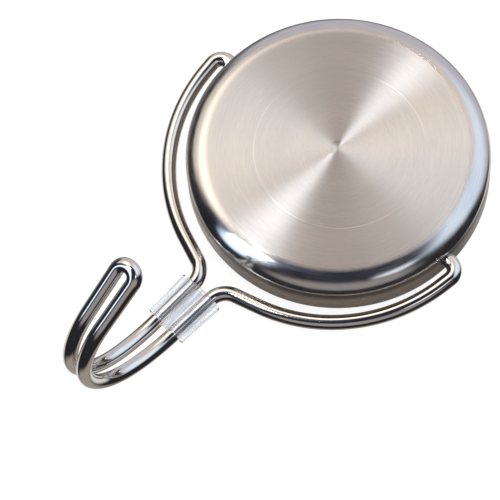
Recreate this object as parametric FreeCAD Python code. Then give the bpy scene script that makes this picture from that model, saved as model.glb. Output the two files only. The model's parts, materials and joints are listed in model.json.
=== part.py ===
import FreeCAD, Part
import math
import os

# Cap hook with a wire bail, in millimetres.
# +Z points out of the cap's face, the bail pivots about X, and the hook lies towards -Y.
# The origin is the centre of the face that holds on to a panel.

# Cap
CAP_D = 60.0
CAP_SHEET = 0.8
CAP_RIM_Z = 3.3
CAP_HEIGHT = 9.5
SHOULDER_ACROSS = 5.0
SHOULDER_DOWN = 3.3
RIM_BREAK = 0.15
CENTRE_MARK_D = 2.8
CENTRE_MARK_DEPTH = 0.08

# Pivot
PIVOT_Z = CAP_RIM_Z + 3.7
PIVOT_CLEARANCE = 0.08

# Wire bail, seen flat: across = X from the middle plane, along = distance from the pivot axis
WIRE_D = 3.0
PIVOT_END = 27.6
PIVOT_END_CHAMFER = 0.4
PIVOT_BEND = 2.3
BAIL_RADIUS = 33.3
BAIL_CENTRE_ALONG = 0.5
ARM_LEAN = 7.0
NECK_BEND = 4.2
NECK_LENGTH = 12.9
NECK_END_ALONG = 47.6
NECK_END_HALF_GAP = 2.2

# Hook: each leg lies in an upright plane that toes in a little. Seen from the side it sweeps up from
# the neck, turns back over the throat, runs straight to the tip and folds across to the other leg.
TOE_IN = 1.0
SWEEP_RADIUS = 24.6
SWEEP_ANGLE = 22.0
THROAT_RADIUS = 16.7
THROAT_ANGLE = 124.0
TIP_LENGTH = 10.4

# The hook at rest lies on the same surface as the base
REST_TILT = 5.4

# Clear sleeve on the neck
SLEEVE_START = 37.7
SLEEVE_LENGTH = 9.9
SLEEVE_WALL_SIDE = 0.8
SLEEVE_WALL_FACE = 0.65
SLEEVE_INSIDE_START = 8.5
SLEEVE_INSIDE_END = 7.8
SLEEVE_INSIDE_HEIGHT = 3.6

# Magnet base
PAD_D = 50.0
PAD_THICK = 1.0
PAD_EDGE = 0.3
FILM_THICK = 0.15
POT_D = 50.0
POT_HEIGHT = 10.0
POT_WALL = 1.6
POT_FLOOR = 2.5
POT_EDGE = 0.8
MAGNET_D = 44.0
MAGNET_BORE = 18.0
POLE_D = 16.0

POT_Z = PAD_THICK + FILM_THICK
POT_TOP = POT_Z + POT_HEIGHT
MAGNET_HEIGHT = POT_HEIGHT - POT_FLOOR
CAP_TOP = CAP_RIM_Z + CAP_HEIGHT
WIRE_R = WIRE_D / 2

X_AXIS = FreeCAD.Vector(1, 0, 0)
Z_AXIS = FreeCAD.Vector(0, 0, 1)
CENTRE = FreeCAD.Vector(0, 0, 0)


def point(x, y, z):
    return FreeCAD.Vector(x, y, z)


def disc(diameter, height, z):
    return Part.makeCylinder(diameter / 2, height, point(0, 0, z))


def ring(outer, inner, height, z):
    return disc(outer, height, z).cut(disc(inner, height, z))


def quarter_ellipse(centre_x, centre_z, across, down):
    """The shoulder's curve, from the wall up to the face, in the XZ plane."""
    ellipse = Part.Ellipse(
        point(centre_x + across, 0, centre_z), point(centre_x, 0, centre_z + down), point(centre_x, 0, centre_z)
    )
    return Part.ArcOfEllipse(ellipse, 0, math.pi / 2).toShape()


def polyline(points):
    return [Part.makeLine(a, b) for a, b in zip(points, points[1:])]


# ---- cap

def cap_shell():
    radius = CAP_D / 2
    inside = radius - CAP_SHEET
    centre_x = radius - SHOULDER_ACROSS
    centre_z = CAP_TOP - SHOULDER_DOWN
    outer = quarter_ellipse(centre_x, centre_z, SHOULDER_ACROSS, SHOULDER_DOWN)
    inner = quarter_ellipse(centre_x, centre_z, SHOULDER_ACROSS - CAP_SHEET, SHOULDER_DOWN - CAP_SHEET)
    mark_r = CENTRE_MARK_D / 2
    face_line = polyline([
        point(centre_x, 0, CAP_TOP),
        point(mark_r, 0, CAP_TOP),
        point(mark_r - CENTRE_MARK_DEPTH, 0, CAP_TOP - CENTRE_MARK_DEPTH),
        point(0, 0, CAP_TOP - CENTRE_MARK_DEPTH),
        point(0, 0, CAP_TOP - CAP_SHEET),
        point(centre_x, 0, CAP_TOP - CAP_SHEET),
    ])
    wall_line = polyline([
        point(inside, 0, centre_z),
        point(inside, 0, CAP_RIM_Z),
        point(radius - RIM_BREAK, 0, CAP_RIM_Z),
        point(radius, 0, CAP_RIM_Z + RIM_BREAK),
        point(radius, 0, centre_z),
    ])
    outline = Part.Wire(Part.__sortEdges__([outer] + face_line + [inner] + wall_line))
    shell = Part.Face(outline).revolve(CENTRE, Z_AXIS, 360)
    holes = Part.makeCylinder(WIRE_R + PIVOT_CLEARANCE, CAP_D + 2, point(-CAP_D / 2 - 1, 0, PIVOT_Z), X_AXIS)
    return shell.cut(holes)


# ---- wire

def flat(across, along):
    """A point of the bail in its own plane, before the rest tilt."""
    return point(across, -along, 0)


def rounded_corner(before, corner, after, radius):
    """An arc tangent to both legs of a corner."""
    leg_in = (before - corner).normalize()
    leg_out = (after - corner).normalize()
    half = leg_in.getAngle(leg_out) / 2
    middle = (leg_in + leg_out).normalize()
    reach = radius / math.tan(half)
    return Part.Arc(
        corner + leg_in * reach,
        corner + middle * (radius / math.sin(half) - radius),
        corner + leg_out * reach,
    ).toShape()


def bail_point(angle):
    a = math.radians(angle)
    return flat(BAIL_RADIUS * math.cos(a), BAIL_CENTRE_ALONG + BAIL_RADIUS * math.sin(a))


def arm_foot():
    """Where the straight end of the arm would meet the pivot axis."""
    lean = math.radians(ARM_LEAN)
    start = bail_point(ARM_LEAN)
    return flat(start.x - start.y * math.tan(lean), 0)


def leg_point(out, up):
    """A point in one leg's plane, measured out and up from the end of the neck."""
    toe = math.radians(TOE_IN)
    return point(NECK_END_HALF_GAP - out * math.sin(toe), -NECK_END_ALONG - out * math.cos(toe), up)


def tangent_angle(corner):
    """Where on the bail's circle the straight run to the neck's corner leaves it."""
    rise = -corner.y - BAIL_CENTRE_ALONG
    span = math.hypot(corner.x, rise)
    return math.degrees(math.atan2(rise, corner.x) - math.acos(BAIL_RADIUS / span))


def bail_edges():
    corner = leg_point(-NECK_LENGTH, 0)
    neck_end = leg_point(0, 0)
    leave = tangent_angle(corner)
    arm_start = bail_point(ARM_LEAN)
    arm_end = bail_point(leave)
    pivot_end = flat(PIVOT_END, 0)
    pivot_bend = rounded_corner(pivot_end, arm_foot(), arm_start, PIVOT_BEND)
    neck_bend = rounded_corner(arm_end, corner, neck_end, NECK_BEND)
    return [
        Part.makeLine(pivot_end, pivot_bend.valueAt(pivot_bend.FirstParameter)),
        pivot_bend,
        Part.makeLine(pivot_bend.valueAt(pivot_bend.LastParameter), arm_start),
        Part.Arc(arm_start, bail_point((ARM_LEAN + leave) / 2), arm_end).toShape(),
        Part.makeLine(arm_end, neck_bend.valueAt(neck_bend.FirstParameter)),
        neck_bend,
        Part.makeLine(neck_bend.valueAt(neck_bend.LastParameter), neck_end),
    ]


def turn_up(start, heading, radius, turn):
    """The end of an arc in the leg's plane that starts at a heading and turns upwards."""
    out = start[0] + radius * (math.sin(heading + turn) - math.sin(heading))
    up = start[1] + radius * (math.cos(heading) - math.cos(heading + turn))
    return out, up


def fold_edge(end, before_end):
    """A quarter turn from a leg's end to the middle plane, tangent to the leg."""
    direction = (end - before_end).normalize()
    ahead = point(0, direction.y, direction.z).normalize()
    flare = math.asin(direction.x)
    radius = end.x / math.cos(flare)
    centre = point(0, end.y, end.z) + ahead * (radius * math.sin(flare))
    halfway = radius * math.sqrt(0.5)
    return Part.Arc(end, centre + point(halfway, 0, 0) + ahead * halfway, centre + ahead * radius).toShape()


def hook_edges():
    place = (0.0, 0.0)
    heading = 0.0
    edges = []
    for radius, degrees in ((SWEEP_RADIUS, SWEEP_ANGLE), (THROAT_RADIUS, THROAT_ANGLE)):
        turn = math.radians(degrees)
        middle = turn_up(place, heading, radius, turn / 2)
        end = turn_up(place, heading, radius, turn)
        edges.append(Part.Arc(leg_point(*place), leg_point(*middle), leg_point(*end)).toShape())
        place = end
        heading += turn
    bend_end = leg_point(*place)
    tip = leg_point(place[0] + TIP_LENGTH * math.cos(heading), place[1] + TIP_LENGTH * math.sin(heading))
    edges.append(Part.makeLine(bend_end, tip))
    edges.append(fold_edge(tip, bend_end))
    return edges


def hook_wire_flat():
    path = Part.Wire(bail_edges() + hook_edges())
    section = Part.Wire(Part.makeCircle(WIRE_R, flat(PIVOT_END, 0), X_AXIS))
    half = path.makePipeShell([section], True, True)
    end_edge = min(half.Edges, key=lambda edge: abs(edge.CenterOfMass.x - PIVOT_END) + edge.Length / 1000)
    half = half.makeChamfer(PIVOT_END_CHAMFER, [end_edge])
    other_half = half.mirror(CENTRE, X_AXIS)
    return half.fuse(other_half).removeSplitter()


def at_rest(shape):
    """Tilts a piece of the bail down to its resting place and lifts it to the pivot."""
    placed = shape.copy()
    placed.rotate(CENTRE, X_AXIS, REST_TILT)
    placed.translate(point(0, 0, PIVOT_Z))
    return placed


def hook_wire():
    return at_rest(hook_wire_flat())


# ---- sleeve

def stadium(width, height, along):
    """A flat oval across the neck."""
    r = height / 2
    x = width / 2 - r
    corners = [point(-x, -along, r), point(x, -along, r), point(x, -along, -r), point(-x, -along, -r)]
    return Part.Wire([
        Part.makeLine(corners[0], corners[1]),
        Part.Arc(corners[1], point(x + r, -along, 0), corners[2]).toShape(),
        Part.makeLine(corners[2], corners[3]),
        Part.Arc(corners[3], point(-x - r, -along, 0), corners[0]).toShape(),
    ])


def oval_bar(width_start, width_end, height):
    end = SLEEVE_START + SLEEVE_LENGTH
    sections = [stadium(width_start, height, SLEEVE_START), stadium(width_end, height, end)]
    return Part.makeLoft(sections, True, True)


def neck_sleeve():
    side = 2 * SLEEVE_WALL_SIDE
    height = SLEEVE_INSIDE_HEIGHT + 2 * SLEEVE_WALL_FACE
    outside = oval_bar(SLEEVE_INSIDE_START + side, SLEEVE_INSIDE_END + side, height)
    inside = oval_bar(SLEEVE_INSIDE_START, SLEEVE_INSIDE_END, SLEEVE_INSIDE_HEIGHT)
    return at_rest(outside.cut(inside))


# ---- magnet base

def flux_pot():
    cup = disc(POT_D, POT_HEIGHT, POT_Z)
    back_edge = [edge for edge in cup.Edges if abs(edge.CenterOfMass.z - POT_TOP) < 0.01]
    cup = cup.makeFillet(POT_EDGE, back_edge)
    return cup.cut(disc(POT_D - 2 * POT_WALL, MAGNET_HEIGHT, POT_Z))


def ring_magnet():
    return ring(MAGNET_D, MAGNET_BORE, MAGNET_HEIGHT, POT_Z)


def pole_piece():
    return disc(POLE_D, MAGNET_HEIGHT, POT_Z)


def outer_potting():
    return ring(POT_D - 2 * POT_WALL, MAGNET_D, MAGNET_HEIGHT, POT_Z)


def pole_potting():
    return ring(MAGNET_BORE, POLE_D, MAGNET_HEIGHT, POT_Z)


def cap_bond():
    inner_face = CAP_TOP - CAP_SHEET
    return disc(POT_D - 2 * POT_EDGE, inner_face - POT_TOP, POT_TOP)


def face_pad():
    pad = disc(PAD_D, PAD_THICK, 0)
    low_edge = [edge for edge in pad.Edges if abs(edge.CenterOfMass.z) < 0.01]
    return pad.makeChamfer(PAD_EDGE, low_edge)


def pad_film():
    return disc(PAD_D, FILM_THICK, PAD_THICK)


PIECES = {
    "cap_shell": cap_shell,
    "hook_wire": hook_wire,
    "neck_sleeve": neck_sleeve,
    "flux_pot": flux_pot,
    "ring_magnet": ring_magnet,
    "pole_piece": pole_piece,
    "outer_potting": outer_potting,
    "pole_potting": pole_potting,
    "cap_bond": cap_bond,
    "face_pad": face_pad,
    "pad_film": pad_film,
}


def main():
    os.makedirs("parts", exist_ok=True)
    for name, make in PIECES.items():
        shape = make()
        box = shape.BoundBox
        print(name, shape.ShapeType, "valid", shape.isValid(), "solids", len(shape.Solids),
              "volume", round(shape.Volume, 1), "z", round(box.ZMin, 3), round(box.ZMax, 3))
        shape.exportStep(f"parts/{name}.step")


main()
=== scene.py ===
"""Looks of the cap hook: a turned steel cap on a magnet base, with its wire bail and clear neck sleeve."""
import json
import logging
import math
from dataclasses import dataclass, field
from enum import Enum
from typing import Any, Sequence

import bmesh
import bpy
from mathutils import Matrix, Vector


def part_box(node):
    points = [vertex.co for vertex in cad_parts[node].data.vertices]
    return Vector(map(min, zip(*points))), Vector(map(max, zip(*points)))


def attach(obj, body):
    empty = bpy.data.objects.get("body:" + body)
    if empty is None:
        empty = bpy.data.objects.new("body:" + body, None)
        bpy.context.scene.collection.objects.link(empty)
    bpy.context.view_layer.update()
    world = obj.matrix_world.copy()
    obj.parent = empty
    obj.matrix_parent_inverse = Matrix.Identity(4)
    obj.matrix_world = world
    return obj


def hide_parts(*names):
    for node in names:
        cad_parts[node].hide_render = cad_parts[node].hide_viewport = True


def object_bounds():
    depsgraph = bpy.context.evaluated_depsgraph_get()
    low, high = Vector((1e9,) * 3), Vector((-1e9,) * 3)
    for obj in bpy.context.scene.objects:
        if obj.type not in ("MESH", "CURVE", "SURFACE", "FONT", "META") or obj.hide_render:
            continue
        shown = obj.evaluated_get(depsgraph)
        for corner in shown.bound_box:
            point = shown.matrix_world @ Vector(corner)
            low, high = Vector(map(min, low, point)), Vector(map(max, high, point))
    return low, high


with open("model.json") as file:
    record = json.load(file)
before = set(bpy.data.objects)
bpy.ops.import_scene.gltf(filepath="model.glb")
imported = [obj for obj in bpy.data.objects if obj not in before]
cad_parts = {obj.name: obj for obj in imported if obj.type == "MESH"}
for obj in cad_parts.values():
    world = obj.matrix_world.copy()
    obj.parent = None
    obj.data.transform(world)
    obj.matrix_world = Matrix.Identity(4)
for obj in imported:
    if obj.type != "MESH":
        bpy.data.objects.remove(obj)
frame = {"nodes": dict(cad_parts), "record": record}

LOG = logging.getLogger("cap_hook")
MM = 0.001
CAD_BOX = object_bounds()
NODES = frame["nodes"]

Colour = tuple[float, float, float, float]
Fade = tuple[float, float]
Outline = list[tuple[float, float]]


class Body(Enum):
    """The rigid bodies that pieces ride on."""

    BASE = "base"
    HOOK = "hook"
    SLEEVE = "sleeve"


# ---------------------------------------------------------------- node trees


class Value:
    """A number socket whose operators add Math nodes to its tree."""

    def __init__(self, graph: "Graph", socket: Any) -> None:
        """Wraps a socket of a graph."""
        self.graph = graph
        self.socket = socket

    def _math(self, operation: str, *operands: Any, clamp: bool = False) -> "Value":
        """Adds one Math node.

        Args:
            operation: the Math node's operation.
            operands: its inputs in order, as numbers or values.
            clamp: whether the result is held between 0 and 1.

        Returns:
            The node's result.
        """
        node = self.graph.node(
            "ShaderNodeMath", {"operation": operation, "use_clamp": clamp}, dict(enumerate(operands))
        )
        return Value(self.graph, node.outputs[0])

    def __add__(self, other: Any) -> "Value":
        """Sum."""
        return self._math("ADD", self, other)

    __radd__ = __add__

    def __sub__(self, other: Any) -> "Value":
        """Difference."""
        return self._math("SUBTRACT", self, other)

    def __rsub__(self, other: Any) -> "Value":
        """Difference, taken from a number."""
        return self._math("SUBTRACT", other, self)

    def __mul__(self, other: Any) -> "Value":
        """Product."""
        return self._math("MULTIPLY", self, other)

    __rmul__ = __mul__

    def __truediv__(self, other: Any) -> "Value":
        """Quotient."""
        return self._math("DIVIDE", self, other)

    def root(self) -> "Value":
        """Square root."""
        return self._math("SQRT", self)

    def size(self) -> "Value":
        """The value without its sign."""
        return self._math("ABSOLUTE", self)

    def at_least(self, floor: Any) -> "Value":
        """The larger of the value and a floor."""
        return self._math("MAXIMUM", self, floor)

    def at_most(self, ceiling: Any) -> "Value":
        """The smaller of the value and a ceiling."""
        return self._math("MINIMUM", self, ceiling)

    def clamped(self) -> "Value":
        """The value held between 0 and 1."""
        return self._math("ADD", self, 0.0, clamp=True)

    def step(self, low: float, high: float) -> "Value":
        """A smooth step.

        Args:
            low: where it is 0.
            high: where it is 1; it may be the smaller of the two.

        Returns:
            The step, from 0 to 1.
        """
        flip = low > high
        node = self.graph.node(
            "ShaderNodeMapRange",
            {"interpolation_type": "SMOOTHSTEP"},
            {"Value": self, "From Min": min(low, high), "From Max": max(low, high)},
        )
        rising = Value(self.graph, node.outputs[0])
        return 1 - rising if flip else rising

    def spread(self, low: float, high: float) -> "Value":
        """The value, taken from 0..1 to low..high."""
        return self * (high - low) + low


class Graph:
    """A node tree that is being built."""

    def __init__(self, tree: bpy.types.NodeTree) -> None:
        """Starts from a tree, which is emptied."""
        self.tree = tree
        tree.nodes.clear()

    def node(
        self, kind: str, settings: dict[str, Any] | None = None, inputs: dict[Any, Any] | None = None
    ) -> Any:
        """Adds a node of any kind.

        Args:
            kind: the node's type name.
            settings: properties, set before the inputs.
            inputs: socket name or index to a number, a tuple, a Value or a socket.

        Returns:
            The new node.
        """
        node = self.tree.nodes.new(kind)
        for name, value in (settings or {}).items():
            setattr(node, name, value)
        for key, value in (inputs or {}).items():
            self.feed(node.inputs[key], value)
        return node

    def feed(self, socket: Any, value: Any) -> None:
        """Links something to an input, or sets the input to a constant.

        Args:
            socket: the input.
            value: a Value or a socket to link, or a constant.
        """
        if isinstance(value, Value):
            value = value.socket
        if isinstance(value, bpy.types.NodeSocket):
            self.tree.links.new(value, socket)
        else:
            socket.default_value = value

    def value(
        self,
        kind: str,
        output: Any,
        settings: dict[str, Any] | None = None,
        inputs: dict[Any, Any] | None = None,
    ) -> Value:
        """Adds a node and returns one of its outputs as a Value."""
        return Value(self, self.node(kind, settings, inputs).outputs[output])


class Surface(Graph):
    """A material's node tree, with the few moves that the finishes share."""

    def __init__(self, name: str) -> None:
        """Makes an empty material.

        Args:
            name: the material's name.
        """
        self.material = bpy.data.materials.new(name)
        self.material.use_nodes = True
        super().__init__(self.material.node_tree)
        self.place = self.node("ShaderNodeTexCoord").outputs["Object"]
        axes = self.node("ShaderNodeSeparateXYZ", None, {0: self.place})
        self.x, self.y, self.z = (Value(self, axes.outputs[i]) for i in range(3))

    def noise(self, place: Any, scale: float, detail: float, roughness: float) -> Value:
        """Noise over a 3D place, from 0 to 1."""
        return self.value(
            "ShaderNodeTexNoise", 0, {"noise_dimensions": "3D"},
            {"Vector": place, "Scale": scale, "Detail": detail, "Roughness": roughness},
        )

    def line_noise(self, along: Value, scale: float, detail: float, roughness: float) -> Value:
        """Noise that changes along one value only, from 0 to 1."""
        return self.value(
            "ShaderNodeTexNoise", 0, {"noise_dimensions": "1D"},
            {"W": along, "Scale": scale, "Detail": detail, "Roughness": roughness},
        )

    def vector(self, x: Any, y: Any, z: Any) -> Any:
        """A vector socket from three values."""
        return self.node("ShaderNodeCombineXYZ", None, {0: x, 1: y, 2: z}).outputs[0]

    def blend(self, share: Any, first: Any, second: Any) -> Any:
        """A colour between two colours."""
        mix = self.node("ShaderNodeMix", {"data_type": "RGBA"}, {0: share, 6: first, 7: second})
        return mix.outputs[2]

    def times(self, first: Any, second: Any) -> Any:
        """The product of two colours."""
        mix = self.node(
            "ShaderNodeMix", {"data_type": "RGBA", "blend_type": "MULTIPLY"}, {0: 1.0, 6: first, 7: second}
        )
        return mix.outputs[2]

    def bump(self, height: Value, distance: float) -> Any:
        """A normal socket from a height, whose unit is worth a distance."""
        node = self.node("ShaderNodeBump", None, {"Height": height, "Distance": distance})
        return node.outputs[0]

    def close(self, inputs: dict[str, Any]) -> bpy.types.Material:
        """Ends the tree in a Principled shader.

        Args:
            inputs: the shader's sockets, by name.

        Returns:
            The material.
        """
        shader = self.node("ShaderNodeBsdfPrincipled", None, inputs)
        self.node("ShaderNodeOutputMaterial", None, {"Surface": shader.outputs[0]})
        return self.material


def colour(red: float, green: float, blue: float) -> Colour:
    """An opaque colour."""
    return (red, green, blue, 1.0)


def weighted(values: Sequence[Value], weights: Sequence[float]) -> Value:
    """The sum of values, each times its weight."""
    terms = [value * weight for value, weight in zip(values, weights)]
    return sum(terms[1:], terms[0])


def zone(value: Value, middle: float, fade: Fade) -> Value:
    """A mask over a value that goes from 0 to 1 between two distances from a middle."""
    return value.step(middle + fade[0], middle + fade[1])


# ---------------------------------------------------------------- finishes


@dataclass(frozen=True)
class TurnedSteel:
    """Stainless sheet: fine turned rings on the face, a polished shoulder and a satin wall, whose colour
    holds a painted reflection of shaded floor and painted shade on its upper part.
    """

    flat_radius: float
    shoulder_z: float
    name: str = "turned_steel"
    warm: Colour = colour(0.75, 0.72, 0.69)
    cool: Colour = colour(0.62, 0.62, 0.625)
    scratch: Colour = colour(0.96, 0.94, 0.92)
    untinted: Colour = colour(1.0, 1.0, 1.0)
    # the wall's colour: satin steel, made darker and browner as a painted reflection of the shaded floor
    wall_steel_and_reflection_tint: Colour = colour(0.64, 0.585, 0.54)
    # painted shade: the wall's upper part is darker still
    wall_top_painted_shade: Colour = colour(0.22, 0.20, 0.195)
    face_roughness: float = 0.345
    shoulder_roughness: float = 0.135
    wall_roughness: float = 0.28
    flat_fade: Fade = (1.7 * MM, 0.1 * MM)
    wall_fade: Fade = (0.3 * MM, -0.2 * MM)
    wall_top_shade_fade: Fade = (-3.2 * MM, -0.7 * MM)
    ring_pitch: float = 0.42 * MM
    ring_depth: float = 0.004 * MM
    broad_rings: float = 9.0
    broad_shift: float = 0.37
    brush_length: float = 7.0
    brush_pitch: float = 0.24 * MM
    brush_depth: float = 0.003 * MM
    cloud_scale: float = 60.0
    tint_weights: tuple[float, ...] = (0.35, 0.15, 0.35, 0.15)
    tint_fade: Fade = (0.38, 0.62)
    ring_blur: float = 0.09
    brush_blur: float = 0.14
    cloud_blur: float = 0.06
    anisotropy: float = 0.96
    quarter_turn: float = 0.25
    lean: float = -0.006
    scribe_radius: float = 16.9 * MM
    scribe_offset: tuple[float, float] = (0.45 * MM, 0.1 * MM)
    scribe_width: float = 0.22 * MM
    scribe_depth: float = 0.02 * MM
    scribe_share: float = 0.7
    scribe_fade: Fade = (0.35, 0.6)

    def material(self) -> bpy.types.Material:
        """Makes the material.

        Returns:
            The material, which reads the cap's own place: Z is the axis that it is turned about.
        """
        s = Surface(self.name)
        radius = (s.x * s.x + s.y * s.y).root()
        along = radius + s.z
        flat = zone(radius, self.flat_radius, self.flat_fade)
        wall = zone(s.z, self.shoulder_z, self.wall_fade)
        # mask for the painted shade on the wall's upper part
        wall_top = zone(s.z, self.shoulder_z, self.wall_top_shade_fade)
        fine = s.line_noise(along, 1 / self.ring_pitch, detail=3.0, roughness=0.7)
        broad_scale = 1 / (self.broad_rings * self.ring_pitch)
        broad = s.line_noise(along + self.broad_shift, broad_scale, detail=2.0, roughness=0.5)
        turn = s.vector(
            s.x / radius * self.brush_length, s.y / radius * self.brush_length, along / self.brush_pitch
        )
        brushed = s.noise(turn, 1.0, detail=2.0, roughness=0.6)
        cloud = s.noise(s.place, self.cloud_scale, detail=3.0, roughness=0.55)
        scribe = self._scribe(s) * cloud.step(*self.scribe_fade)
        tint = weighted((cloud, broad, brushed, fine), self.tint_weights).step(*self.tint_fade)
        sheet = s.blend(scribe * self.scribe_share, s.blend(tint, self.cool, self.warm), self.scratch)
        # the wall's colour, with its painted reflection and the painted shade at its top
        wall_painted_colour = s.blend(wall_top, self.wall_steel_and_reflection_tint, self.wall_top_painted_shade)
        rough = (
            flat * self.face_roughness
            + (1 - flat) * (1 - wall) * self.shoulder_roughness
            + wall * self.wall_roughness
            + (fine - 0.5) * self.ring_blur
            + (brushed - 0.5) * self.brush_blur
            + (cloud - 0.5) * self.cloud_blur
        )
        height = (
            radius.at_most(self.flat_radius) * self.lean
            + fine * self.ring_depth
            + brushed * self.brush_depth
            - scribe * self.scribe_depth
        )
        return s.close({
            "Base Color": s.times(sheet, s.blend(wall, self.untinted, wall_painted_colour)),
            "Metallic": 1.0,
            "Roughness": rough.clamped(),
            "Anisotropic": self.anisotropy,
            "Anisotropic Rotation": self.quarter_turn,
            "Normal": s.bump(height, 1.0),
        })

    def _scribe(self, s: Surface) -> Value:
        """A mask for the line scribed round the face, a little off its centre.

        Args:
            s: the material that is being made.

        Returns:
            1 on the line, 0 away from it.
        """
        off_x = s.x - self.scribe_offset[0]
        off_y = s.y - self.scribe_offset[1]
        away = (off_x * off_x + off_y * off_y).root() - self.scribe_radius
        return away.size().step(self.scribe_width, 0.0)


@dataclass(frozen=True)
class BrightWire:
    """Bright drawn wire: nearly a mirror, with faint draw lines along it and a slight waviness."""

    name: str = "bright_wire"
    clean: Colour = colour(0.80, 0.775, 0.74)
    dull: Colour = colour(0.68, 0.655, 0.63)
    roughness: float = 0.085
    lines_around: float = 9.0
    lines_along: float = 90.0
    patch_scale: float = 420.0
    wave_scale: float = 260.0
    dent_scale: float = 900.0
    dull_weights: tuple[float, ...] = (0.6, 0.4)
    dull_fade: Fade = (0.5, 0.78)
    line_blur: float = 0.05
    dull_blur: float = 0.07
    relief_weights: tuple[float, ...] = (0.72, 0.12, 0.16)
    relief: float = 0.016 * MM

    def material(self) -> bpy.types.Material:
        """Makes the material.

        Returns:
            The material, which reads the wire's own section and along attributes.
        """
        s = Surface(self.name)
        section = s.node("ShaderNodeAttribute", {"attribute_name": "section"}).outputs["Vector"]
        parts = s.node("ShaderNodeSeparateXYZ", None, {0: section})
        around = [Value(s, parts.outputs[i]) * self.lines_around for i in range(2)]
        along = s.value("ShaderNodeAttribute", "Fac", {"attribute_name": "along"})
        lines_at = s.vector(*around, along * self.lines_along)
        lines = s.noise(lines_at, 1.0, detail=3.0, roughness=0.6)
        patches = s.noise(s.place, self.patch_scale, detail=3.0, roughness=0.6)
        waves = s.noise(s.place, self.wave_scale, detail=1.0, roughness=0.4)
        dents = s.noise(s.place, self.dent_scale, detail=2.0, roughness=0.5)
        dulled = weighted((patches, lines), self.dull_weights).step(*self.dull_fade)
        rough = self.roughness + (lines - 0.5) * self.line_blur + dulled * self.dull_blur
        return s.close({
            "Base Color": s.blend(dulled, self.clean, self.dull),
            "Metallic": 1.0,
            "Roughness": rough.clamped(),
            "Normal": s.bump(weighted((waves, dents, lines), self.relief_weights), self.relief),
        })


@dataclass(frozen=True)
class ClearPlastic:
    """Soft clear tube: it bends what is seen through it, and is a little milky."""

    name: str = "clear_sleeve"
    tint: Colour = colour(0.66, 0.69, 0.76)
    milk: Colour = colour(0.99, 0.99, 1.0)
    milk_fade: Fade = (0.38, 0.62)
    clear_share: float = 0.95
    bending: float = 1.26
    streak_scale: float = 240.0
    streaks_across: float = 6.0
    streaks_along: float = 0.25
    roughness: tuple[float, float] = (0.04, 0.10)
    relief: float = 0.002 * MM

    def material(self) -> bpy.types.Material:
        """Makes the material.

        Returns:
            The material, whose streaks run along the tube.
        """
        s = Surface(self.name)
        across, along = self.streaks_across, self.streaks_along
        place = s.vector(s.x * across, s.y * along, s.z * across)
        streaks = s.noise(place, self.streak_scale, detail=2.0, roughness=0.5)
        return s.close({
            "Base Color": s.blend(streaks.step(*self.milk_fade), self.tint, self.milk),
            "Roughness": streaks.spread(*self.roughness),
            "IOR": self.bending,
            "Transmission Weight": self.clear_share,
            "Normal": s.bump(streaks, self.relief),
        })


@dataclass(frozen=True)
class MouldedOrCast:
    """A plain body colour with fine mottling, for rubber, resin, glue and sintered or plated metal."""

    name: str
    light: Colour
    dark: Colour
    roughness: float
    metallic: float = 0.0
    grain: float = 0.5 * MM
    relief: float = 0.02 * MM
    broad_grains: float = 14.0
    mottle_weights: tuple[float, ...] = (0.5, 0.5)
    mottle_fade: Fade = (0.3, 0.7)
    fine_blur: float = 0.15
    broad_blur: float = 0.1
    relief_weights: tuple[float, ...] = (0.7, 0.3)

    def material(self) -> bpy.types.Material:
        """Makes the material.

        Returns:
            The finished material.
        """
        s = Surface(self.name)
        fine = s.noise(s.place, 1 / self.grain, detail=4.0, roughness=0.6)
        broad = s.noise(s.place, 1 / (self.broad_grains * self.grain), detail=3.0, roughness=0.55)
        mottle = weighted((fine, broad), self.mottle_weights).step(*self.mottle_fade)
        rough = self.roughness + (fine - 0.5) * self.fine_blur + (broad - 0.5) * self.broad_blur
        return s.close({
            "Base Color": s.blend(mottle, self.dark, self.light),
            "Metallic": self.metallic,
            "Roughness": rough.clamped(),
            "Normal": s.bump(weighted((fine, broad), self.relief_weights), self.relief),
        })


@dataclass
class Finishes:
    """Every material, made once."""

    cap: TurnedSteel
    made: dict[str, bpy.types.Material] = field(default_factory=dict)

    def __post_init__(self) -> None:
        """Makes the materials."""
        recipes = [
            self.cap,
            BrightWire(),
            ClearPlastic(),
            MouldedOrCast(
                "plated_steel", colour(0.66, 0.655, 0.64), colour(0.54, 0.535, 0.53), roughness=0.34,
                metallic=1.0, grain=0.7 * MM, relief=0.006 * MM,
            ),
            MouldedOrCast(
                "ferrite", colour(0.075, 0.075, 0.08), colour(0.035, 0.035, 0.038), roughness=0.6,
                grain=0.25 * MM,
            ),
            MouldedOrCast(
                "resin", colour(0.05, 0.05, 0.05), colour(0.025, 0.025, 0.025), roughness=0.38,
                grain=1.2 * MM, relief=0.05 * MM,
            ),
            MouldedOrCast(
                "adhesive", colour(0.78, 0.75, 0.66), colour(0.62, 0.59, 0.5), roughness=0.5,
                grain=0.8 * MM, relief=0.03 * MM,
            ),
            MouldedOrCast(
                "pad_rubber", colour(0.045, 0.045, 0.048), colour(0.022, 0.022, 0.024), roughness=0.72,
                grain=0.3 * MM, relief=0.03 * MM,
            ),
        ]
        for recipe in recipes:
            self.made[recipe.name] = recipe.material()

    def __getitem__(self, slot: str) -> bpy.types.Material:
        """The material of a slot."""
        return self.made[slot]


# ---------------------------------------------------------------- mesh helpers


def new_object(name: str, mesh: bpy.types.Mesh) -> bpy.types.Object:
    """Links a mesh into the scene.

    Args:
        name: the object's name.
        mesh: its mesh.

    Returns:
        The object, at the origin.
    """
    piece = bpy.data.objects.new(name, mesh)
    bpy.context.scene.collection.objects.link(piece)
    return piece


def settle(piece: bpy.types.Object) -> bpy.types.Object:
    """Turns a piece's modifiers into plain mesh.

    Args:
        piece: an object with live modifiers.

    Returns:
        The same object, with none.
    """
    depsgraph = bpy.context.evaluated_depsgraph_get()
    mesh = bpy.data.meshes.new_from_object(piece.evaluated_get(depsgraph))
    piece.modifiers.clear()
    piece.data = mesh
    return piece


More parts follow.
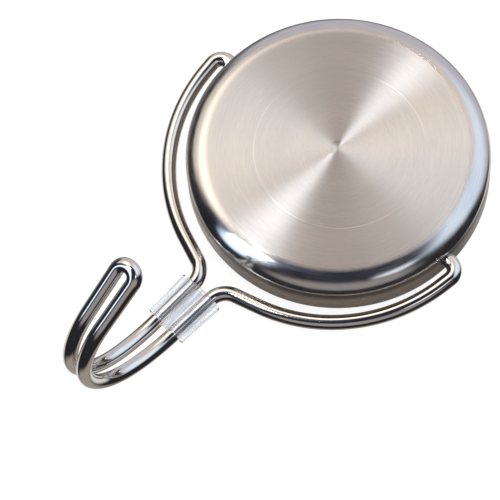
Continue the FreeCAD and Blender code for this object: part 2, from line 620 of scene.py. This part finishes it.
def dress(piece: bpy.types.Object, material: bpy.types.Material, smooth_below: float = 40.0) -> None:
    """Gives a piece its material and smooth shading that breaks at hard edges.

    Args:
        piece: a plain mesh object.
        material: its only material.
        smooth_below: the angle in degrees above which an edge looks hard.
    """
    mesh = piece.data
    mesh.materials.clear()
    mesh.materials.append(material)
    mesh.polygons.foreach_set("material_index", [0] * len(mesh.polygons))
    mesh.shade_smooth()
    mesh.set_sharp_from_angle(angle=math.radians(smooth_below))
    mesh.update()


def register(piece: bpy.types.Object, body: Body, node: str) -> None:
    """Puts a finished piece on its body.

    Args:
        piece: the piece.
        body: the rigid body that it rides on.
        node: the CAD node that it stands for.
    """
    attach(piece, body.value)
    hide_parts(node)


def ring(work: bmesh.types.BMesh, radius: float, height: float, segments: int) -> list[Any]:
    """Adds a level ring of points about Z.

    Args:
        work: the shape that is being made.
        radius: the ring's radius; 0 gives a pole of one point.
        height: its height.
        segments: how many points it has.

    Returns:
        The points in order.
    """
    if radius == 0:
        return [work.verts.new((0, 0, height))]
    angles = (2 * math.pi * i / segments for i in range(segments))
    return [work.verts.new((radius * math.cos(a), radius * math.sin(a), height)) for a in angles]


def join_rings(work: bmesh.types.BMesh, low: Sequence[Any], high: Sequence[Any]) -> None:
    """Fills the band between two rings.

    Args:
        work: the shape that is being made.
        low: one ring's points, or a pole.
        high: the other's, as many, or a pole; two poles have no band.
    """
    count = max(len(low), len(high))
    if count == 1:
        return
    for i in range(count):
        j = (i + 1) % count
        corners = [low[i % len(low)], low[j % len(low)], high[j % len(high)], high[i % len(high)]]
        work.faces.new(list(dict.fromkeys(corners)))


def join_in_turn(work: bmesh.types.BMesh, rings: Sequence[Sequence[Any]]) -> None:
    """Fills the bands between rings that follow one another."""
    for low, high in zip(rings, rings[1:]):
        join_rings(work, low, high)


def finished_mesh(work: bmesh.types.BMesh, name: str) -> bpy.types.Object:
    """Ends the making of a shape.

    Args:
        work: the shape, which is freed.
        name: the object's name.

    Returns:
        The object, with its normals outward.
    """
    bmesh.ops.recalc_face_normals(work, faces=work.faces)
    mesh = bpy.data.meshes.new(name)
    work.to_mesh(mesh)
    work.free()
    return new_object(name, mesh)


def lathe(name: str, outline: Outline, segments: int, closed: bool) -> bpy.types.Object:
    """Turns an outline of radius and height about Z.

    Args:
        name: the object's name.
        outline: points in order; for a closed body it runs round the section once.
        segments: steps round the axis.
        closed: whether the last point joins the first.

    Returns:
        The turned piece, with its normals outward.
    """
    work = bmesh.new()
    rings = [ring(work, radius, height, segments) for radius, height in outline]
    join_in_turn(work, rings)
    if closed:
        join_rings(work, rings[-1], rings[0])
    return finished_mesh(work, name)


# ---------------------------------------------------------------- cap


@dataclass
class Cap:
    """The drawn cap: turned face with a centre mark, polished shoulder, pierced wall."""

    finishes: Finishes
    radius: float
    top: float
    rim: float
    shoulder_across: float = 5.0 * MM
    shoulder_down: float = 3.3 * MM
    sheet: float = 0.8 * MM
    pivot_above_rim: float = 3.7 * MM
    hole_radius: float = 1.58 * MM
    mark_radius: float = 1.4 * MM
    mark_depth: float = 0.08 * MM
    mark_lip: float = 0.1 * MM
    mark_edge: float = 0.01 * MM
    edge_break: float = 0.1 * MM
    hard_edge: float = 50.0
    segments: int = 256
    face_rings: int = 26
    shoulder_rings: int = 30
    wall_rows: int = 8
    window: int = 8
    hole_rings: tuple[float, ...] = (0.35, 0.65, 0.88, 1.0)

    def face_outline(self) -> Outline:
        """The face from the middle outward.

        Returns:
            Radius and height from the centre mark over the flat and the shoulder to the top of the wall.
        """
        flat = self.radius - self.shoulder_across
        mark = self.top - self.mark_depth
        lip = self.mark_lip
        # a shallow dish with a steep edge
        points: Outline = [
            (0.0, mark),
            (self.mark_radius * 0.4, mark + self.mark_depth * 0.06),
            (self.mark_radius * 0.75, mark + self.mark_depth * 0.16),
            (self.mark_radius - 2 * lip, mark + self.mark_depth * 0.25),
            (self.mark_radius - lip, mark + self.mark_depth * 0.5),
            (self.mark_radius, self.top - self.mark_edge),
            (self.mark_radius + lip, self.top),
        ]
        start = self.mark_radius + 4 * lip
        points += [
            (start + (flat - start) * i / self.face_rings, self.top) for i in range(self.face_rings)
        ]
        for i in range(self.shoulder_rings + 1):
            angle = math.pi / 2 * (1 - i / self.shoulder_rings)
            across = self.radius - self.shoulder_across * (1 - math.cos(angle))
            points.append((across, self.top - self.shoulder_down * (1 - math.sin(angle))))
        return points

    def build(self) -> list[bpy.types.Object]:
        """Makes the shell and gives it its thickness.

        Returns:
            The cap.
        """
        work = bmesh.new()
        rings = [ring(work, *point, self.segments) for point in self.face_outline()]
        join_in_turn(work, rings)
        self._add_wall(work, rings[-1])
        piece = finished_mesh(work, "turned_cap")
        # an open shell's normals may settle inward
        if sum(face.normal.z for face in piece.data.polygons) < 0:
            piece.data.flip_normals()
        thick = piece.modifiers.new("sheet", "SOLIDIFY")
        thick.thickness = self.sheet
        thick.offset = -1.0
        thick.use_even_offset = True
        rounded = piece.modifiers.new("edge_break", "BEVEL")
        rounded.width = self.edge_break
        rounded.segments = 2
        rounded.limit_method = "ANGLE"
        rounded.angle_limit = math.radians(self.hard_edge)
        settle(piece)
        dress(piece, self.finishes["turned_steel"], self.hard_edge)
        register(piece, Body.BASE, "cap_shell")
        return [piece]

    def _add_wall(self, work: bmesh.types.BMesh, top_ring: list[Any]) -> None:
        """Adds the straight wall, with a round hole on each side where the wire goes in.

        Args:
            work: the shell that is being made.
            top_ring: the shoulder's last ring, which the wall hangs from.
        """
        wall_top = self.top - self.shoulder_down
        rows = [top_ring]
        for i in range(1, self.wall_rows + 1):
            height = wall_top + (self.rim - wall_top) * i / self.wall_rows
            rows.append(ring(work, self.radius, height, self.segments))
        half = self.window // 2
        middles = (0, self.segments // 2)
        open_columns = {(middle + k) % self.segments for middle in middles for k in range(-half, half)}
        for upper, lower in zip(rows, rows[1:]):
            for i in range(self.segments):
                if i not in open_columns:
                    j = (i + 1) % self.segments
                    work.faces.new((upper[i], upper[j], lower[j], lower[i]))
        for middle in middles:
            self._pierce(work, rows, middle)

    def _pierce(self, work: bmesh.types.BMesh, rows: list[list[Any]], middle: int) -> None:
        """Fills one window in the wall with rings that close in on a round hole.

        Args:
            work: the shell that is being made.
            rows: the wall's rows of points, from the top down.
            middle: the column in the middle of the window.
        """
        half = self.window // 2
        columns = [(middle + k) % self.segments for k in range(-half, half + 1)]
        border = [rows[0][c] for c in columns]
        border += [row[columns[-1]] for row in rows[1:]]
        border += [rows[-1][c] for c in reversed(columns[:-1])]
        border += [row[columns[0]] for row in reversed(rows[1:-1])]
        middle_angle = 2 * math.pi * middle / self.segments
        pivot_z = self.rim + self.pivot_above_rim
        unrolled = []
        for vert in border:
            turn = math.remainder(math.atan2(vert.co.y, vert.co.x) - middle_angle, 2 * math.pi)
            unrolled.append(Vector((turn * self.radius, vert.co.z - pivot_z)))
        outer = border
        for share in self.hole_rings:
            inner = []
            for place in unrolled:
                here = place.lerp(place.normalized() * self.hole_radius, share)
                angle = middle_angle + here.x / self.radius
                across, along = self.radius * math.cos(angle), self.radius * math.sin(angle)
                inner.append(work.verts.new((across, along, here.y + pivot_z)))
            join_rings(work, outer, inner)
            outer = inner


# ---------------------------------------------------------------- wire


@dataclass
class WireBail:
    """One bent wire: pivot ends, arms round the cap, a twin neck and a twin J closed by a fold."""

    finishes: Finishes
    pivot_z: float
    radius: float = 1.5 * MM
    pivot_end: float = 27.6 * MM
    end_chamfer: float = 0.4 * MM
    pivot_bend: float = 2.3 * MM
    bail_radius: float = 33.3 * MM
    bail_centre: float = 0.5 * MM
    arm_lean: float = math.radians(7.0)
    neck_bend: float = 4.2 * MM
    neck_length: float = 12.9 * MM
    neck_end: float = 47.6 * MM
    neck_half_gap: float = 2.2 * MM
    toe_in: float = math.radians(1.0)
    sweep_radius: float = 24.6 * MM
    sweep_angle: float = math.radians(22.0)
    throat_radius: float = 16.7 * MM
    throat_angle: float = math.radians(124.0)
    tip_length: float = 10.4 * MM
    rest_tilt: float = math.radians(5.4)
    spacing: float = 0.45 * MM
    least_steps: int = 8
    sides: int = 40
    hard_edge: float = 35.0

    def _flat(self, across: float, along: float) -> Vector:
        """A point in the bail's plane."""
        return Vector((across, -along, 0.0))

    def _leg(self, out: float, up: float) -> Vector:
        """A point in one leg's upright plane, counted from the end of the neck."""
        across = self.neck_half_gap - out * math.sin(self.toe_in)
        return Vector((across, -self.neck_end - out * math.cos(self.toe_in), up))

    def _on_bail(self, angle: float) -> Vector:
        """A point on the bail's circle."""
        across = self.bail_radius * math.cos(angle)
        return self._flat(across, self.bail_centre + self.bail_radius * math.sin(angle))

    def _run(self, start: Vector, end: Vector) -> list[Vector]:
        """Evenly spaced points on a straight run, without the first."""
        steps = max(1, round((end - start).length / (2 * self.spacing)))
        return [start.lerp(end, i / steps) for i in range(1, steps + 1)]

    def _bend(self, centre: Vector, start: Vector, end: Vector) -> list[Vector]:
        """Evenly spaced points on the shorter arc, without the first.

        Args:
            centre: the arc's centre.
            start: its first point.
            end: its last point.

        Returns:
            The points, the last one at end.
        """
        from_centre = start - centre
        axis, angle = from_centre.rotation_difference(end - centre).to_axis_angle()
        steps = max(self.least_steps, round(from_centre.length * angle / self.spacing))
        turns = (Matrix.Rotation(angle * i / steps, 3, axis) for i in range(1, steps + 1))
        return [centre + turn @ from_centre for turn in turns]

    def _corner(
        self, before: Vector, corner: Vector, after: Vector, radius: float
    ) -> tuple[Vector, Vector, Vector]:
        """Works out the arc that rounds a corner.

        Args:
            before: a point on the run that comes in.
            corner: where the two runs would meet.
            after: a point on the run that goes out.
            radius: the arc's radius.

        Returns:
            The arc's start, end and centre.
        """
        leg_in = (before - corner).normalized()
        leg_out = (after - corner).normalized()
        half = leg_in.angle(leg_out) / 2
        reach = radius / math.tan(half)
        centre = corner + (leg_in + leg_out).normalized() * (radius / math.sin(half))
        return corner + leg_in * reach, corner + leg_out * reach, centre

    def bail_half(self) -> list[Vector]:
        """One arm, lying level.

        Returns:
            Points from the pivot end round to the end of the neck.
        """
        corner = self._leg(-self.neck_length, 0.0)
        rise = -corner.y - self.bail_centre
        span = math.hypot(corner.x, rise)
        # where a straight run to the corner touches the circle
        leave = math.atan2(rise, corner.x) - math.acos(self.bail_radius / span)
        arm_start = self._on_bail(self.arm_lean)
        arm_end = self._on_bail(leave)
        arm_foot = self._flat(arm_start.x - arm_start.y * math.tan(self.arm_lean), 0.0)
        pivot_end = self._flat(self.pivot_end, 0.0)
        neck_end = self._leg(0.0, 0.0)
        first = self._corner(pivot_end, arm_foot, arm_start, self.pivot_bend)
        second = self._corner(arm_end, corner, neck_end, self.neck_bend)
        points = [pivot_end, pivot_end + Vector((self.end_chamfer, 0, 0))]
        points += self._run(points[-1], first[0])
        points += self._bend(first[2], first[0], first[1])
        points += self._run(first[1], arm_start)
        points += self._bend(self._flat(0.0, self.bail_centre), arm_start, arm_end)
        points += self._run(arm_end, second[0])
        points += self._bend(second[2], second[0], second[1])
        points += self._run(second[1], neck_end)
        return points

    def hook_half(self) -> list[Vector]:
        """One leg of the J.

        Returns:
            Points after the end of the neck, round the throat to the middle of the fold.
        """
        points: list[Vector] = []
        out, up, heading = 0.0, 0.0, 0.0
        bends = ((self.sweep_radius, self.sweep_angle), (self.throat_radius, self.throat_angle))
        for radius, turn in bends:
            steps = round(radius * turn / self.spacing)
            for i in range(1, steps + 1):
                now = heading + turn * i / steps
                points.append(self._leg(
                    out + radius * (math.sin(now) - math.sin(heading)),
                    up + radius * (math.cos(heading) - math.cos(now)),
                ))
            out += radius * (math.sin(heading + turn) - math.sin(heading))
            up += radius * (math.cos(heading) - math.cos(heading + turn))
            heading += turn
        tip = self._leg(out + self.tip_length * math.cos(heading), up + self.tip_length * math.sin(heading))
        direction = (tip - points[-1]).normalized()
        points += self._run(points[-1], tip)
        ahead = Vector((0.0, direction.y, direction.z)).normalized()
        flare = math.asin(direction.x)
        radius = tip.x / math.cos(flare)
        centre = Vector((0.0, tip.y, tip.z)) + ahead * (radius * math.sin(flare))
        points += self._bend(centre, tip, centre + ahead * radius)
        return points

    def centreline(self) -> list[Vector]:
        """The whole wire at rest.

        Returns:
            Points along its centreline, from one pivot end to the other.
        """
        half = self.bail_half() + self.hook_half()
        whole = half + [Vector((-p.x, p.y, p.z)) for p in reversed(half[:-1])]
        tilt = Matrix.Rotation(self.rest_tilt, 3, "X")
        return [tilt @ p + Vector((0.0, 0.0, self.pivot_z)) for p in whole]

    def build(self) -> list[bpy.types.Object]:
        """Sweeps the wire along its centreline.

        Returns:
            The wire.
        """
        points = self.centreline()
        mesh = bpy.data.meshes.new("wire_bail")
        mesh.from_pydata(points, [(i, i + 1) for i in range(len(points) - 1)], [])
        piece = new_object("wire_bail", mesh)
        modifier = piece.modifiers.new("sweep", "NODES")
        modifier.node_group = sweep_tree()
        set_inputs(modifier, {
            "Wire radius": self.radius,
            "Sides": self.sides,
            "End chamfer": self.end_chamfer,
            "Material": self.finishes["bright_wire"],
        })
        settle(piece)
        dress(piece, self.finishes["bright_wire"], self.hard_edge)
        register(piece, Body.HOOK, "hook_wire")
        return [piece]


def set_inputs(modifier: bpy.types.NodesModifier, values: dict[str, Any]) -> None:
    """Sets a node modifier's inputs.

    Args:
        modifier: the modifier.
        values: what to set, by the names of the tree's inputs.
    """
    for item in modifier.node_group.interface.items_tree:
        if item.item_type == "SOCKET" and item.in_out == "INPUT" and item.name in values:
            modifier[item.identifier] = values[item.name]


def sweep_tree() -> bpy.types.NodeTree:
    """A node tree that sweeps a round section along the edges of a mesh.

    Returns:
        The tree. Its result carries "along", the distance from the first end, and "section", the
        direction from the centreline, both for the finish to follow.
    """
    tree = bpy.data.node_groups.new("sweep_wire", "GeometryNodeTree")
    tree.is_modifier = True
    inputs = {
        "Geometry": "Geometry", "Wire radius": "Float", "Sides": "Int", "End chamfer": "Float",
        "Material": "Material",
    }
    for name, kind in inputs.items():
        tree.interface.new_socket(name, in_out="INPUT", socket_type="NodeSocket" + kind)
    tree.interface.new_socket("Geometry", in_out="OUTPUT", socket_type="NodeSocketGeometry")
    g = Graph(tree)
    given = g.node("NodeGroupInput").outputs
    curve = g.node("GeometryNodeMeshToCurve", None, {0: given["Geometry"]})
    length = g.value("GeometryNodeSplineParameter", "Length")
    nearest_end = length.at_most(g.value("GeometryNodeSplineLength", "Length") - length)
    full = Value(g, given["Wire radius"])
    missing = (Value(g, given["End chamfer"]) - nearest_end).at_least(0.0)
    along = g.node("GeometryNodeCaptureAttribute", None, {"Geometry": curve.outputs[0]})
    along.capture_items.new("FLOAT", "along")
    g.feed(along.inputs[1], length)
    circle = g.node("GeometryNodeCurvePrimitiveCircle", None, {
        "Resolution": given["Sides"],
        "Radius": given["Wire radius"],
    })
    place = g.node("GeometryNodeInputPosition")
    section = g.node("GeometryNodeCaptureAttribute", None, {"Geometry": circle.outputs[0]})
    section.capture_items.new("VECTOR", "section")
    unit = g.node("ShaderNodeVectorMath", {"operation": "NORMALIZE"}, {0: place.outputs[0]})
    g.feed(section.inputs[1], unit.outputs[0])
    swept = g.node("GeometryNodeCurveToMesh", None, {
        "Curve": along.outputs[0],
        "Profile Curve": section.outputs[0],
        "Scale": (full - missing) / full,
        "Fill Caps": True,
    })
    keep_along = g.node(
        "GeometryNodeStoreNamedAttribute", {"data_type": "FLOAT", "domain": "POINT"},
        {"Geometry": swept.outputs[0], "Name": "along", "Value": along.outputs[1]},
    )
    keep_section = g.node(
        "GeometryNodeStoreNamedAttribute", {"data_type": "FLOAT_VECTOR", "domain": "POINT"},
        {"Geometry": keep_along.outputs[0], "Name": "section", "Value": section.outputs[1]},
    )
    real = g.node("GeometryNodeRealizeInstances", None, {0: keep_section.outputs[0]})
    coated = g.node(
        "GeometryNodeSetMaterial", None, {"Geometry": real.outputs[0], "Material": given["Material"]}
    )
    g.node("NodeGroupOutput", None, {0: coated.outputs[0]})
    return tree


# ---------------------------------------------------------------- sleeve


@dataclass
class NeckSleeve:
    """A short clear tube, flat oval in section, that holds the two neck wires together."""

    finishes: Finishes
    pivot_z: float
    start: float = 37.7 * MM
    length: float = 9.9 * MM
    inside_start: float = 8.5 * MM
    inside_end: float = 7.8 * MM
    inside_height: float = 3.6 * MM
    wall_side: float = 0.8 * MM
    wall_face: float = 0.65 * MM
    lip: float = 0.14 * MM
    swell: float = 0.035 * MM
    swell_waves: float = 1.05
    swell_start: float = 0.6
    rest_tilt: float = WireBail.rest_tilt
    around: int = 72
    stations: int = 24
    hard_edge: float = 60.0

    def _loop(self, work: bmesh.types.BMesh, width: float, height: float, along: float) -> list[Any]:
        """Adds one flat oval ring across the neck, at rest.

        Args:
            work: the tube that is being made.
            width: the oval's size across the two wires.
            height: its size the other way.
            along: how far the ring is from the pivot.

        Returns:
            The ring's points in order.
        """
        radius = height / 2
        flat = width - height
        total = 2 * flat + 2 * math.pi * radius
        tilt = Matrix.Rotation(self.rest_tilt, 3, "X")
        pivot = Vector((0, 0, self.pivot_z))
        points = []
        for i in range(self.around):
            side, rest = divmod(total * i / self.around, total / 2)
            if rest < flat:
                x, z = flat / 2 - rest, radius
            else:
                angle = (rest - flat) / radius
                x, z = -flat / 2 - radius * math.sin(angle), radius * math.cos(angle)
            sign = 1 if side < 1 else -1
            points.append(work.verts.new(tilt @ Vector((sign * x, -along, sign * z)) + pivot))
        return points

    def _slack(self, share: float) -> float:
        """How far the soft wall swells or pinches at a share of its length."""
        return self.swell * math.sin(2 * math.pi * self.swell_waves * share + self.swell_start)

    def build(self) -> list[bpy.types.Object]:
        """Makes the tube as one closed wall.

        Returns:
            The sleeve.
        """
        work = bmesh.new()
        outer, inner = [], []
        for i in range(self.stations + 1):
            share = 0.5 - 0.5 * math.cos(math.pi * i / self.stations)
            along = self.start + self.length * share
            width = self.inside_start + (self.inside_end - self.inside_start) * share
            near_end = min(share, 1 - share) * self.length
            trim = self.lip * max(0.0, 1 - near_end / self.lip) ** 2
            grow = self._slack(share) - self.swell - trim
            outer_width = width + 2 * (self.wall_side + grow)
            outer_height = self.inside_height + 2 * (self.wall_face + grow)
            outer.append(self._loop(work, outer_width, outer_height, along))
            inner.append(self._loop(work, width + trim, self.inside_height + trim, along))
        join_in_turn(work, outer)
        join_in_turn(work, inner)
        join_rings(work, outer[0], inner[0])
        join_rings(work, outer[-1], inner[-1])
        piece = finished_mesh(work, "clear_sleeve")
        dress(piece, self.finishes["clear_sleeve"], self.hard_edge)
        piece.visible_shadow = False
        register(piece, Body.SLEEVE, "neck_sleeve")
        return [piece]


# ---------------------------------------------------------------- magnet base


@dataclass
class MagnetBase:
    """The pot magnet under the cap, its rubber pad and what bonds them."""

    finishes: Finishes
    pad_rounds: tuple[float, float] = (0.3 * MM, 0.12 * MM)
    film_rounds: tuple[float, float] = (0.03 * MM, 0.03 * MM)
    pot_rounds: tuple[float, float] = (0.25 * MM, 0.8 * MM)
    kept: tuple[str, ...] = ("ring_magnet", "pole_piece", "outer_potting", "pole_potting", "cap_bond")
    segments: int = 192
    round_steps: int = 5

    def _rounded(self, radius: float, low: float, high: float, rounds: tuple[float, float]) -> Outline:
        """A solid disc's outline with rounded edges.

        Args:
            radius: the disc's radius.
            low: the height of its underside.
            high: the height of its top.
            rounds: the radii of its lower and upper edge.

        Returns:
            Radius and height from the lower pole to the upper pole.
        """
        points: Outline = [(0.0, low)]
        for middle_z, size, first in ((low + rounds[0], rounds[0], -90), (high - rounds[1], rounds[1], 0)):
            for i in range(self.round_steps + 1):
                angle = math.radians(first + 90 * i / self.round_steps)
                points.append((radius - size + size * math.cos(angle), middle_z + size * math.sin(angle)))
        points.append((0.0, high))
        return points

    def _disc(self, name: str, node: str, slot: str, rounds: tuple[float, float]) -> bpy.types.Object:
        """Makes a turned disc in place of a CAD node.

        Args:
            name: the piece's name.
            node: the CAD node.
            slot: its material slot.
            rounds: the radii of the lower and upper edge.

        Returns:
            The piece.
        """
        low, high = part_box(node)
        piece = lathe(name, self._rounded(high.x, low.z, high.z, rounds), self.segments, False)
        dress(piece, self.finishes[slot])
        register(piece, Body.BASE, node)
        return piece

    def _pot(self) -> bpy.types.Object:
        """Makes the steel pot.

        Returns:
            The piece, open towards the pad.
        """
        low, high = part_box("flux_pot")
        magnet_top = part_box("ring_magnet")[1].z
        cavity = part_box("outer_potting")[1].x
        points: Outline = [(cavity, magnet_top), (cavity, low.z)]
        points += self._rounded(high.x, low.z, high.z, self.pot_rounds)[1:]
        points.append((0.0, magnet_top))
        piece = lathe("steel_pot", points, self.segments, True)
        dress(piece, self.finishes["plated_steel"])
        register(piece, Body.BASE, "flux_pot")
        return piece

    def _carry_over(self) -> list[bpy.types.Object]:
        """Finishes the inner parts whose CAD shape is kept.

        Returns:
            Their nodes.
        """
        slots = {part["node"]: part["material_slot"] for part in frame["record"]["subparts"]}
        nodes = [NODES[name] for name in self.kept]
        for name, node in zip(self.kept, nodes):
            node.data.materials.clear()
            node.data.materials.append(self.finishes[slots[name]])
        return nodes

    def build(self) -> list[bpy.types.Object]:
        """Makes every part of the base.

        Returns:
            The pieces, the kept nodes last.
        """
        return [
            self._disc("rubber_pad", "face_pad", "pad_rubber", self.pad_rounds),
            self._disc("pad_glue", "pad_film", "adhesive", self.film_rounds),
            self._pot(),
            *self._carry_over(),
        ]


# ---------------------------------------------------------------- studio


@dataclass(frozen=True)
class Glow:
    """A soft-edged oval in the surround, lit or dark.

    Round is counted from the camera's right over the near side, and tilt from straight up, in degrees.
    Width and height are its half sizes as slopes, and soft is the share of them that its edge fades over,
    inward and outward.
    """

    round: float
    tilt: float
    width: float
    height: float
    tint: tuple[float, float, float]
    strength: float = 1.0
    soft: float = 0.3


@dataclass
class Studio:
    """A pale floor, a soft surround with ovals of light and dark in it, and the camera."""

    azimuth: float = math.radians(51.0)
    elevation: float = math.radians(66.2)
    roll: float = math.radians(-5.6)
    distance: float = 589.8 * MM
    aim: Vector = field(default_factory=lambda: Vector((1.5 * MM, -25.7 * MM, 7.0 * MM)))
    lens: float = 217.8
    sensor: float = 36.0
    nearest_seen: float = 0.01
    floor_size: float = 6.0
    floor_gap: float = 0.05 * MM
    floor_tones: tuple[float, float] = (0.24, 0.26)
    floor_glow: float = 0.87
    room: tuple[float, float, float] = (0.022, 0.022, 0.027)
    glows: tuple[Glow, ...] = (
        Glow(270, 150, 1.60, 0.62, (0.80, 0.77, 0.745), 1.0, 0.3),
        Glow(270, 112, 2.0, 0.40, (0.17, 0.165, 0.16), 1.0, 0.3),
        Glow(90, 158, 0.66, 0.38, (0.37, 0.33, 0.295), 1.0, 0.35),
        Glow(94, 63, 0.85, 0.40, (0.34, 0.32, 0.32), 1.0, 0.35),
        Glow(304, 76, 1.5, 0.75, (0.68, 0.67, 0.75), 0.9, 0.3),
        Glow(228, 51, 0.50, 0.34, (1.0, 0.93, 0.84), 0.80, 0.3),
        Glow(342, 42, 0.62, 0.72, (0.82, 0.95, 1.12), 1.10, 0.5),
        Glow(266, 31, 0.56, 0.34, (1.0, 0.79, 0.64), 0.84, 0.5),
        Glow(234, 33, 0.36, 0.28, (1.0, 0.91, 0.81), 1.8, 0.5),
        Glow(172, 64, 0.50, 0.50, (0.6, 0.65, 0.9), 0.035, 0.4),
        Glow(92, 12, 0.50, 0.42, (0.45, 0.52, 0.95), 0.045, 0.3),
        Glow(174.5, 29.5, 0.14, 0.34, (0.5, 0.62, 1.0), 0.42, 0.6),
        Glow(174.5, 29.5, 0.05, 0.21, (0.93, 0.96, 1.0), 26.0, 0.3),
        Glow(163, 50, 0.16, 0.44, (0.66, 0.78, 1.0), 2.2, 0.5),
        Glow(57, 37, 0.16, 0.10, (0.85, 0.88, 1.0), 1.7, 0.45),
    )
    lamp_place: tuple[float, float, float] = (-0.45, 0.15, 1.5)
    lamp_size: float = 0.9
    lamp_power: float = 4.0
    diffuse_fill: float = 1.0
    seen_through_clear: float = 1.1
    open_air_limit: float = 100.0
    least_ahead: float = 0.01

    def camera(self) -> None:
        """Adds the camera, rolled a little about its own axis."""
        data = bpy.data.cameras.new("camera")
        data.lens = self.lens
        data.sensor_width = self.sensor
        data.clip_start = self.nearest_seen
        camera = bpy.data.objects.new("camera", data)
        level = math.cos(self.elevation)
        back = Vector((
            math.sin(self.azimuth) * level, -math.cos(self.azimuth) * level, math.sin(self.elevation)
        ))
        across = self._flat_way(0.0)
        right = across * math.cos(self.roll) + back.cross(across) * math.sin(self.roll)
        turn = Matrix((right, back.cross(right), back)).transposed().to_4x4()
        camera.matrix_world = Matrix.Translation(self.aim + back * self.distance) @ turn
        bpy.context.scene.collection.objects.link(camera)
        bpy.context.scene.camera = camera

    def floor(self) -> None:
        """Adds a plain pale floor, which glows a little so that shadows are faint."""
        half = self.floor_size / 2
        level = CAD_BOX[0].z - self.floor_gap
        corners = [(x, y, level) for x, y in ((-half, -half), (half, -half), (half, half), (-half, half))]
        mesh = bpy.data.meshes.new("floor")
        mesh.from_pydata(corners, [], [(0, 1, 2, 3)])
        floor = new_object("floor", mesh)
        s = Surface("pale_floor")
        mottle = s.noise(s.place, 3.0, detail=2.0, roughness=0.5)
        dark, light = (colour(tone, tone, tone) for tone in self.floor_tones)
        mesh.materials.append(s.close({
            "Base Color": s.blend(mottle, dark, light),
            "Roughness": 0.9,
            "Specular IOR Level": 0.1,
            "Emission Color": colour(1.0, 1.0, 1.0),
            "Emission Strength": self.floor_glow,
        }))
        floor.visible_glossy = False

    def lamp(self) -> None:
        """Adds a broad lamp overhead that only lights what is not mirror-like."""
        data = bpy.data.lights.new("overhead", "AREA")
        data.size = self.lamp_size
        data.energy = self.lamp_power
        lamp = bpy.data.objects.new("overhead", data)
        lamp.location = self.lamp_place
        lamp.rotation_euler = Vector(self.lamp_place).to_track_quat("Z", "Y").to_euler()
        lamp.visible_camera = False
        lamp.visible_glossy = False
        bpy.context.scene.collection.objects.link(lamp)

    def _flat_way(self, around: float) -> Vector:
        """Turns a level direction from the camera's right over the near side.

        Args:
            around: the angle in radians.

        Returns:
            The direction.
        """
        right = Vector((math.cos(self.azimuth), math.sin(self.azimuth), 0.0))
        near = Vector((math.sin(self.azimuth), -math.cos(self.azimuth), 0.0))
        return right * math.cos(around) + near * math.sin(around)

    def _share(self, g: Graph, way: Any, glow: Glow) -> Value:
        """How much of a glow is seen in a direction.

        Args:
            g: the surround's tree.
            way: the direction, as a vector socket.
            glow: the glow.

        Returns:
            1 inside the glow, 0 away from it.
        """
        tilt = math.radians(glow.tilt)
        middle = self._flat_way(math.radians(glow.round)) * math.sin(tilt)
        middle += Vector((0.0, 0.0, math.cos(tilt)))
        sideways = Vector((0.0, 0.0, 1.0)).cross(middle).normalized()
        upward = middle.cross(sideways)
        ahead, across, along = (
            g.value("ShaderNodeVectorMath", "Value", {"operation": "DOT_PRODUCT"}, {0: way, 1: tuple(axis)})
            for axis in (middle, sideways / glow.width, upward / glow.height)
        )
        ahead = ahead.at_least(self.least_ahead)
        across, along = across / ahead, along / ahead
        return (across * across + along * along).root().step(1 + glow.soft, 1 - glow.soft)

    def surround(self) -> None:
        """Makes the room that metal mirrors; matt things are lit evenly."""
        world = bpy.data.worlds.new("studio")
        bpy.context.scene.world = world
        world.use_nodes = True
        g = Graph(world.node_tree)
        way = g.node("ShaderNodeTexCoord").outputs["Generated"]
        room: Any = colour(*self.room)
        for glow in self.glows:
            lit = colour(*(part * glow.strength for part in glow.tint))
            share = self._share(g, way, glow)
            room = g.node("ShaderNodeMix", {"data_type": "RGBA"}, {0: share, 6: room, 7: lit}).outputs[2]
        path = g.node("ShaderNodeLightPath").outputs
        # 1 until a ray has passed into something clear
        open_air = Value(g, path["Transmission Depth"]).step(0.6, 0.4)
        limit = open_air * self.open_air_limit + self.seen_through_clear
        held = g.node("ShaderNodeVectorMath", {"operation": "MINIMUM"}, {0: room, 1: limit}).outputs[0]
        even = colour(self.diffuse_fill, self.diffuse_fill, self.diffuse_fill)
        shown = g.node("ShaderNodeMix", {"data_type": "RGBA"}, {0: path["Is Glossy Ray"], 6: even, 7: held})
        light = g.node("ShaderNodeBackground", None, {"Color": shown.outputs[2], "Strength": 1.0})
        g.node("ShaderNodeOutputWorld", None, {0: light.outputs[0]})

    def build(self) -> None:
        """Sets the whole studio up."""
        bpy.context.scene.view_settings.view_transform = "Standard"
        self.camera()
        self.floor()
        self.surround()
        self.lamp()


def main() -> None:
    """Builds every piece and the studio."""
    logging.basicConfig(level=logging.INFO, format="%(message)s")
    low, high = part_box("cap_shell")
    finishes = Finishes(TurnedSteel(high.x - Cap.shoulder_across, high.z - Cap.shoulder_down))
    pivot_z = low.z + Cap.pivot_above_rim
    assemblies = (
        Cap(finishes, radius=high.x, top=high.z, rim=low.z),
        WireBail(finishes, pivot_z),
        NeckSleeve(finishes, pivot_z),
        MagnetBase(finishes),
    )
    for assembly in assemblies:
        for piece in assembly.build():
            LOG.info("%s: %d faces", piece.name, len(piece.data.polygons))
    Studio().build()


if __name__ == "__main__":
    main()
